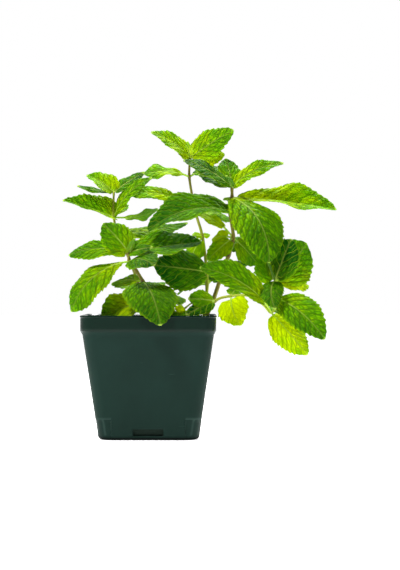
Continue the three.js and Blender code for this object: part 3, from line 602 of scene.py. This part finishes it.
def mint_stalk():
    """Square mint stalk: a juicy green stem with a thin skin, flushed purple-brown along its edges
    where the sun reached it, with fine lengthwise ribs and a soft gloss."""
    material, tree = new_material("mint_stalk")
    blush = add_node(tree, "ShaderNodeAttribute", attribute_name="blush").outputs["Fac"]
    lengthwise = add_node(tree, "ShaderNodeUVMap", uv_map="stalk").outputs[0]
    fibres = add_node(tree, "ShaderNodeTexNoise",
                      {"Vector": lengthwise, "Scale": 9.0, "Detail": 4.0})
    patchy = add_node(tree, "ShaderNodeMath", {0: fibres.outputs[0], 1: 0.5}, operation="SUBTRACT")
    flush = add_node(tree, "ShaderNodeMath", {0: patchy.outputs[0], 1: 1.4, 2: blush},
                     operation="MULTIPLY_ADD", use_clamp=True)
    colour = add_node(tree, "ShaderNodeMix", {0: flush.outputs[0], 6: hex_linear("b8d038"),
                                              7: hex_linear("64482a")}, data_type="RGBA")
    bump = add_node(tree, "ShaderNodeBump",
                    {"Height": fibres.outputs[0], "Strength": 0.4, "Distance": 0.0002})
    surface = add_node(tree, "ShaderNodeBsdfPrincipled", {
        "Base Color": colour.outputs[2], "Roughness": 0.5, "IOR": 1.4, "Normal": bump.outputs[0]})
    surface.inputs["Specular IOR Level"].default_value = 0.2
    surface.inputs["Subsurface Weight"].default_value = 0.15
    surface.inputs["Subsurface Radius"].default_value = (0.001, 0.001, 0.0003)
    add_node(tree, "ShaderNodeOutputMaterial", {"Surface": surface.outputs[0]})
    return material


def set_uv(piece, name, across, along):
    """Give a piece a UV map from two numbers per vertex."""
    layer = piece.data.uv_layers.new(name=name)
    corners = np.zeros(len(piece.data.loops), np.int32)
    piece.data.loops.foreach_get("vertex_index", corners)
    layer.data.foreach_set("uv", np.stack([across, along], -1)[corners].astype(np.float32).ravel())


stalk_material = mint_stalk()
for name, stem in STEMS.items():
    rings, run, at, swell = stem_skin(stem["nodes"], stem["radius"])
    rows, ring_size = rings.shape[:2]
    faces = [grid_quads(rows, ring_size), *ring_caps(rows, ring_size)]
    stalk = make_piece(name + "_stalk", rings.reshape(-1, 3), faces, stalk_material)
    foot, tip = stem["blush"]
    flush = foot + (tip - foot) * at + 0.3 * (swell - 1)
    corner = np.linspace(0, 1, ring_size, endpoint=False)
    edge = np.cos(8 * math.pi * corner)
    set_values(stalk, "blush", (flush[:, None] + 0.12 * edge[None]).ravel())
    around = np.abs(np.tile(corner, rows) - 0.5) * 4
    set_uv(stalk, "stalk", around, np.repeat(run / FIBRE_LENGTH, ring_size))
    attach(stalk, "root")
    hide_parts(name)

# ==== mint leaves ============================================================================
# Thin toothed blades on short stalks. The upper face is quilted: it sinks along the midrib and the
# side veins and swells between them, and the veins stand out below. Light comes through the blade.
LEAF_THICKNESS = 0.45
STALK_THICKNESS = 1.2
STALK_WIDTH = 1.4
CELL = 0.75
TOOTH = 4.0
FEWEST_TEETH = 5
MOST_TEETH = 17
LONGEST_STALK = 0.8
ROUNDNESS = 0.66
DROOP = 0.16
HEART = 0.13
VEIN_LEAN = 1.05
RUNG_SLANT = 1.45
NET_CELL = 4.2
GROWN_LEAF = 32
LEAF_SEED = 31
LEAF_SHARP = 70


def phases(seed, count):
    """Where along each leaf its margin's waves begin: numbers from a linear congruential row."""
    row = []
    for _ in range(count):
        seed = (seed * 1664525 + 1013904223) % 4294967296
        row.append(seed / 4294967296)
    return row


def unit(vector):
    """The vector at length 1."""
    return vector / np.linalg.norm(vector)


def leaf_skin(base, leaf, phase):
    """One leaf as rings round its section, with a number per vertex for each thing the material reads.

    The stalk and midrib follow a circular arc from base to tip that bends through arch, and stand
    off sideways by sway in the middle. Across it, half the width follows a sine that peaks at the
    crest, and each half is raised by the fold and turned down again by the square of the distance
    out. The base is drawn back to a shallow heart. The margin carries waves of height ruffle, and
    teeth that lean to the tip. Side veins leave the midrib forward and curve on forward; the blade
    sinks at each and swells between."""
    _, *tip, width, crest, roll, twist, arch, sway, fold, stalk, ruffle, tone = leaf
    chord = np.array(tip, float) - base
    length = np.linalg.norm(chord)
    along = chord / length
    level = unit(np.array((0, 0, 1.0)) - along * along[2])
    flank = np.cross(level, along)
    turn, bend, lift = np.radians((roll, arch, fold))
    up = level * math.cos(turn) + flank * math.sin(turn)
    side = flank * math.cos(turn) - level * math.sin(turn)
    radius = length / (2 * math.sin(bend / 2))
    bare = min(stalk / abs(radius * bend), LONGEST_STALK)
    blade_length = abs(radius * bend) * (1 - bare)

    rows = int(np.clip(round(blade_length / CELL), 18, 96))
    columns = 2 * int(np.clip(round(width / CELL / 2), 5, 32)) + 1
    bare_rows = max(int(round(stalk / 1.5)), 2)
    t = np.concatenate([np.linspace(0, bare, bare_rows, endpoint=False), np.linspace(bare, 1, rows)])
    blade = np.clip((t - bare) / (1 - bare), 0, 1)[:, None]
    v = np.linspace(-1, 1, columns)[None]
    hand = np.sign(v)
    angle = (bend * (t - 0.5))[:, None, None]
    off = (4 * sway * t * (1 - t))[:, None, None]
    spine = base + along * (length / 2 + radius * np.sin(angle)) + side * off \
        + up * radius * (np.cos(angle) - math.cos(bend / 2))
    facing = up * np.cos(angle) + along * np.sin(angle)
    ahead = along * np.cos(angle) - up * np.sin(angle)
    turned = np.radians(twist * (t - 0.5))[:, None, None]
    normal = facing * np.cos(turned) + side * np.sin(turned)
    side = side * np.cos(turned) - facing * np.sin(turned)

    teeth = np.clip(blade_length / TOOTH, FEWEST_TEETH, MOST_TEETH)
    step = blade * teeth + 0.5 * (hand > 0) + phase
    rise = np.mod(step, 1)
    saw = np.where(rise < 0.72, rise / 0.72, (1 - rise) / 0.28)
    depth = np.clip(0.06 * width, 0.45, 1.8) * (0.75 + 0.35 * np.sin(2.1 * np.floor(step) + 5 * phase))
    edge = np.abs(v) ** 5 * np.sin(math.pi * blade ** 0.8) ** 0.4
    skew = math.log(0.5) / math.log(crest)
    outline = width / 2 * np.sin(math.pi * blade ** skew) ** ROUNDNESS
    half = np.maximum(outline + depth * (saw - 0.5) * edge, STALK_WIDTH / 2)
    y = v * half
    x = blade * blade_length
    wave = ruffle * v ** 2 * np.sin(math.pi * blade) \
        * np.sin(2 * math.pi * (2 * blade + phase + 0.25 * hand))
    on_blade = np.clip((half - STALK_WIDTH / 2) / 2, 0, 1)
    soft = np.sqrt(v ** 2 + 0.006) - 0.077
    height = half * on_blade * (soft * math.sin(lift) - DROOP * v ** 2) + wave
    spread = 1 + on_blade * (math.cos(lift) - 1)

    space = blade_length / np.clip(blade_length / 6.5, 4.5, 8.5)
    wander = 0.1 * np.sin(0.9 * np.abs(y) + 9 * phase) * np.sin(0.35 * x + 5 * phase + hand) \
        + 0.07 * np.sin(0.55 * x - 0.7 * y + 23 * phase)
    vein = (x - VEIN_LEAN * np.abs(y) - 0.3 * y ** 2 / width) / space + 0.22 * hand + phase + wander
    bulge = (0.5 - 0.5 * np.cos(2 * math.pi * vein)) ** 0.45
    between = np.abs(y) * RUNG_SLANT / (4.6 + 0.8 * np.sin(5 * np.floor(vein) + hand))
    rungs = 0.5 - 0.5 * np.cos(2 * math.pi * between + 2.4 * np.floor(vein) + 1.2 * np.sin(0.8 * x))
    quilt = np.clip(0.013 * blade_length, 0.12, 0.95)
    fade = on_blade * np.clip((half - np.abs(y)) / 2.5, 0, 1) ** 0.7 * np.clip((1 - blade) * 8, 0, 1)
    relief = quilt * fade * (0.85 * bulge + 0.4 * rungs * bulge - 0.65) \
        * (1 - np.exp(-(y / 1.5) ** 2)) \
        - 0.16 * on_blade * np.exp(-(y / 0.9) ** 2)

    forward = 0.6 * depth * saw * edge - HEART * width * on_blade * v ** 2 * (1 - blade) ** 5
    middle = spine + side * (y * spread)[..., None] + normal * height[..., None] \
        + ahead * forward[..., None]
    lean = np.cross(np.gradient(middle, axis=0), np.gradient(middle, axis=1))
    lean /= np.linalg.norm(lean, axis=2, keepdims=True) + 1e-12
    closing = (1 - np.abs(v) ** 10) ** 0.5
    thick = closing * (STALK_THICKNESS + (LEAF_THICKNESS - STALK_THICKNESS) * on_blade)
    rib = on_blade * (0.75 * (1 - 0.8 * blade) * np.exp(-(y / 0.65) ** 2)
                      + 0.16 * fade * np.exp(-((vein - np.round(vein)) * space / 0.6) ** 2))
    upper = middle + lean * (relief + thick / 2)[..., None]
    lower = middle + lean * (relief * closing - thick / 2 - rib * closing)[..., None]
    rings = np.concatenate([upper, lower[:, -2:0:-1]], 1)

    def around(values):
        """The same numbers for the upper face and, backwards, the lower one."""
        full = np.broadcast_to(values, middle.shape[:2])
        return np.concatenate([full, full[:, -2:0:-1]], 1).ravel()

    read = {"tone": around(tone), "vein": around(vein), "blade": around(blade),
            "age": around(np.clip(blade_length / GROWN_LEAF, 0.35, 1)),
            "margin": around(np.abs(v) * on_blade), "stalk": around(1 - on_blade)}
    net = (around(vein * space / NET_CELL), around(np.abs(y) * RUNG_SLANT / NET_CELL + 40 * hand))
    return rings, read, (around(x / 100), around(y / 100)), net, columns


def mint_blade():
    """Mint leaf: a soft, slightly glossy skin with sunken veins over a juicy body. Young leaves are
    lime and let the light through; old ones are deep green; all are greyer and paler below. The tone
    also carries light and shade painted per leaf. Painted shade darkens the vein grooves, the net's
    lines and the tip, and painted highlights lighten the swellings and the margin."""
    material, tree = new_material("mint_blade")
    tone, age, vein, blade, margin, stalk, below = [
        add_node(tree, "ShaderNodeAttribute", attribute_name=name).outputs["Fac"]
        for name in ("tone", "age", "vein", "blade", "margin", "stalk", "below")]
    place = add_node(tree, "ShaderNodeTexCoord").outputs["Object"]
    flat = add_node(tree, "ShaderNodeUVMap", uv_map="blade_mm").outputs[0]

    def mix(share, first, second, **settings):
        """Colour between first and second, by share."""
        return add_node(tree, "ShaderNodeMix", {0: share, 6: first, 7: second}, data_type="RGBA",
                        **settings).outputs[2]

    def span(value, low, high, to_low=0.0, to_high=1.0):
        """value between low and high, carried over to between to_low and to_high."""
        return add_node(tree, "ShaderNodeMapRange", {
            "Value": value, "From Min": low, "From Max": high, "To Min": to_low,
            "To Max": to_high}).outputs[0]

    def calc(operation, *values):
        """One sum on numbers."""
        return add_node(tree, "ShaderNodeMath", dict(enumerate(values)), operation=operation).outputs[0]

    patches = add_node(tree, "ShaderNodeTexNoise", {"Vector": place, "Scale": 70.0, "Detail": 2.0})
    varied = calc("MULTIPLY_ADD", calc("SUBTRACT", patches.outputs[0], 0.5), 0.5, tone)
    # Darker towards the tip and lighter towards the stalk: painted shade, for tips that turn down away
    # from the light.
    varied = calc("MULTIPLY_ADD", calc("SUBTRACT", 0.5, blade), 0.45, varied)
    meshes = add_node(tree, "ShaderNodeUVMap", uv_map="vein_net").outputs[0]
    cells = {"Vector": meshes, "Scale": 1.0, "Randomness": 0.8}
    patch = add_node(tree, "ShaderNodeTexVoronoi", cells, feature="F1").outputs["Color"]
    varied = calc("MULTIPLY_ADD", calc("SUBTRACT", patch, 0.5), calc("MULTIPLY", age, 0.35), varied)
    green = mix(span(varied, 0.0, 0.5), hex_linear("0c4a0a"), hex_linear("68ac00"))
    green = mix(span(varied, 0.5, 1.0), green, hex_linear("d2ea00"))

    from_vein = calc("PINGPONG", vein, 0.5)
    core = span(from_vein, 0.02, 0.07, 1.0, 0.0)
    groove = span(from_vein, 0.03, 0.18, 1.0, 0.0)
    net = add_node(tree, "ShaderNodeTexVoronoi", cells, feature="DISTANCE_TO_EDGE").outputs["Distance"]
    net_line = span(net, 0.0, 0.16, 1.0, 0.0)
    swell = span(net, 0.1, 0.45)
    across = add_node(tree, "ShaderNodeSeparateXYZ", {0: flat}).outputs[1]
    midrib = span(calc("ABSOLUTE", across), 0.004, 0.0075, 1.0, 0.0)
    midrib = calc("MULTIPLY", midrib, span(blade, 0.1, 0.9, 1.0, 0.2))
    # Dark colour in the vein grooves and along the net's lines is painted shade; the lime on the
    # swellings between them is a painted highlight.
    shaded_lines = calc("MAXIMUM", groove, calc("MULTIPLY", net_line, 0.7))
    shaded_lines = calc("MULTIPLY", calc("MULTIPLY", shaded_lines, age), span(tone, 0.4, 0.8, 0.85, 0.42))

    swell_highlight = mix(calc("MULTIPLY", swell, span(tone, 0.1, 0.6, 0.1, 0.35)), green, hex_linear("b4e400"))
    sunken = mix(shaded_lines, swell_highlight, hex_linear("0c3600"))
    veined = mix(calc("MULTIPLY", core, span(tone, 0.1, 0.45, 0.75, 0.3)), sunken, hex_linear("b4e030"))
    # The lime rim along the margin is painted light shining through the thin edge.
    margin_glow = mix(calc("MULTIPLY", span(margin, 0.86, 1.0), 0.4), veined, hex_linear("b0dc00"))
    bare = calc("MAXIMUM", midrib, stalk)
    top = mix(calc("MULTIPLY", bare, 0.9), margin_glow, hex_linear("d8f468"))
    dusty = mix(0.45, green, hex_linear("86a252"))
    ribbed = mix(calc("MULTIPLY", calc("MAXIMUM", core, midrib), 0.5), dusty, hex_linear("b9cc8c"))
    colour = mix(below, top, ribbed)
    glow = mix(span(varied, 0.1, 0.9), hex_linear("52b000"), hex_linear("e8f400"))
    # The light through the leaf is also darker along the same painted-shade lines.
    glow = mix(calc("MULTIPLY", shaded_lines, 0.7), glow, hex_linear("2f7400"))
    glow = mix(calc("MULTIPLY", bare, 0.8), glow, hex_linear("d8f850"))

    grain = add_node(tree, "ShaderNodeTexNoise", {"Vector": flat, "Scale": 160.0, "Detail": 2.0})
    sunk = calc("MULTIPLY_ADD", core, -1.0, span(net, 0.0, 0.3))
    height = calc("MULTIPLY", calc("MULTIPLY_ADD", grain.outputs[0], 0.1, sunk), age)
    bump = add_node(tree, "ShaderNodeBump", {"Height": height, "Strength": 1.0, "Distance": 0.0005})
    skin = add_node(tree, "ShaderNodeBsdfPrincipled", {
        "Base Color": colour, "Roughness": 0.64, "Specular IOR Level": 0.05, "Normal": bump.outputs[0]})
    through = add_node(tree, "ShaderNodeBsdfTranslucent", {"Color": glow, "Normal": bump.outputs[0]})
    share = span(tone, 0.0, 1.0, 0.3, 0.58)
    surface = add_node(tree, "ShaderNodeMixShader",
                       {0: share, 1: skin.outputs[0], 2: through.outputs[0]})
    add_node(tree, "ShaderNodeOutputMaterial", {"Surface": surface.outputs[0]})
    return material


leaf_material = mint_blade()
for index, (name, stem) in enumerate(STEMS.items()):
    points, quads, caps, below, flats, nets = [], [], [], [], [], []
    read = {}
    first = 0
    for leaf, phase in zip(stem["leaves"], phases(LEAF_SEED + index, len(stem["leaves"]))):
        base = np.array(stem["nodes"][leaf[0]], float)
        rings, values, flat, net, columns = leaf_skin(base, leaf, phase)
        rows, ring_size = rings.shape[:2]
        points.append(rings.reshape(-1, 3))
        quads.append(grid_quads(rows, ring_size, first)[:, ::-1])
        caps += [cap[0, ::-1] for cap in ring_caps(rows, ring_size, first)]
        below.append(np.tile(np.arange(ring_size) >= columns - 1, rows - 1))
        flats.append(flat)
        nets.append(net)
        for key, numbers in values.items():
            read.setdefault(key, []).append(numbers)
        first += rows * ring_size
    leaves = make_piece(name + "_leaves", np.concatenate(points),
                        [np.concatenate(quads), *[cap[None] for cap in caps]], leaf_material)
    set_values(leaves, "below", np.append(np.concatenate(below), np.zeros(len(caps))), "FACE")
    for key, numbers in read.items():
        set_values(leaves, key, np.concatenate(numbers))
    set_uv(leaves, "blade_mm", *np.concatenate(flats, axis=1))
    set_uv(leaves, "vein_net", *np.concatenate(nets, axis=1))
    leaves.data.set_sharp_from_angle(angle=math.radians(LEAF_SHARP))
    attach(leaves, "root")
    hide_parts(name)

# ==== studio =================================================================================
# A white table that glows a little, a white room that is dimmer in front, a soft lamp behind and
# above that shines through the leaves, and a softer one in front on the left.


TABLE_HALF = 6000
TABLE_DROP = 0.05
LIT_BY_BACK = (0.03, 0, 0.16)
LIT_BY_FRONT = (0.03, 0, 0.12)


def white_table():
    """Milky acrylic, lit a little from below."""
    material, tree = new_material("white_table")
    surface = add_node(tree, "ShaderNodeBsdfPrincipled", {
        "Base Color": (0.93, 0.93, 0.93, 1), "Roughness": 0.6, "Emission Color": (1, 1, 1, 1),
        "Emission Strength": 0.68})
    add_node(tree, "ShaderNodeOutputMaterial", {"Surface": surface.outputs[0]})
    return material


def add_lamp(name, place, aim, size, power):
    """A square soft box at place, turned to aim, in metres and watts."""
    light = bpy.data.lights.new(name, "AREA")
    light.shape = "SQUARE"
    light.size = size
    light.energy = power
    lamp = bpy.data.objects.new(name, light)
    bpy.context.scene.collection.objects.link(lamp)
    lamp.location = place
    lamp.rotation_euler = (Vector(aim) - Vector(place)).to_track_quat("-Z", "Y").to_euler()


table_corners = np.array([[-1, -1], [1, -1], [1, 1], [-1, 1]]) * TABLE_HALF
table_points = np.column_stack([table_corners, np.full(4, -TABLE_DROP)])
table = make_piece("table", table_points, [np.arange(4)[None]], white_table())

world = bpy.data.worlds.new("white_room")
bpy.context.scene.world = world
world.use_nodes = True
world.node_tree.nodes.clear()
room = world.node_tree
direction = add_node(room, "ShaderNodeTexCoord").outputs["Generated"]
toward = add_node(room, "ShaderNodeSeparateXYZ", {0: direction}).outputs
back = add_node(room, "ShaderNodeMapRange", {"Value": toward[1], "From Min": -0.7, "From Max": 0.6,
                                             "To Min": 0.06, "To Max": 0.7}).outputs[0]
seen = add_node(room, "ShaderNodeLightPath").outputs["Is Camera Ray"]
strength = add_node(room, "ShaderNodeMix", {0: seen, 2: back, 3: 1.0}).outputs[0]
white = add_node(room, "ShaderNodeBackground", {"Color": (1, 1, 1, 1), "Strength": strength})
add_node(room, "ShaderNodeOutputWorld", {"Surface": white.outputs[0]})

add_lamp("back_lamp", (0.15, 0.65, 1.05), LIT_BY_BACK, size=0.4, power=28)
add_lamp("front_lamp", (-0.5, -0.55, 1.2), LIT_BY_FRONT, size=0.25, power=20)

# ==== camera =================================================================================
# A long lens, level, at the height of the leaves' lower edge.
FOCAL_PIXELS = 1883
FRAME_HEIGHT = 570
CAMERA_PLACE = (0.0401, -1.5, 0.1207)
camera_data = bpy.data.cameras.new("camera")
camera_data.sensor_width = 36
camera_data.lens = camera_data.sensor_width * FOCAL_PIXELS / FRAME_HEIGHT
camera = bpy.data.objects.new("camera", camera_data)
camera.location = CAMERA_PLACE
camera.rotation_euler = (math.pi / 2, 0, 0)
bpy.context.scene.collection.objects.link(camera)
bpy.context.scene.camera = camera
bpy.context.scene.view_settings.view_transform = "Standard"
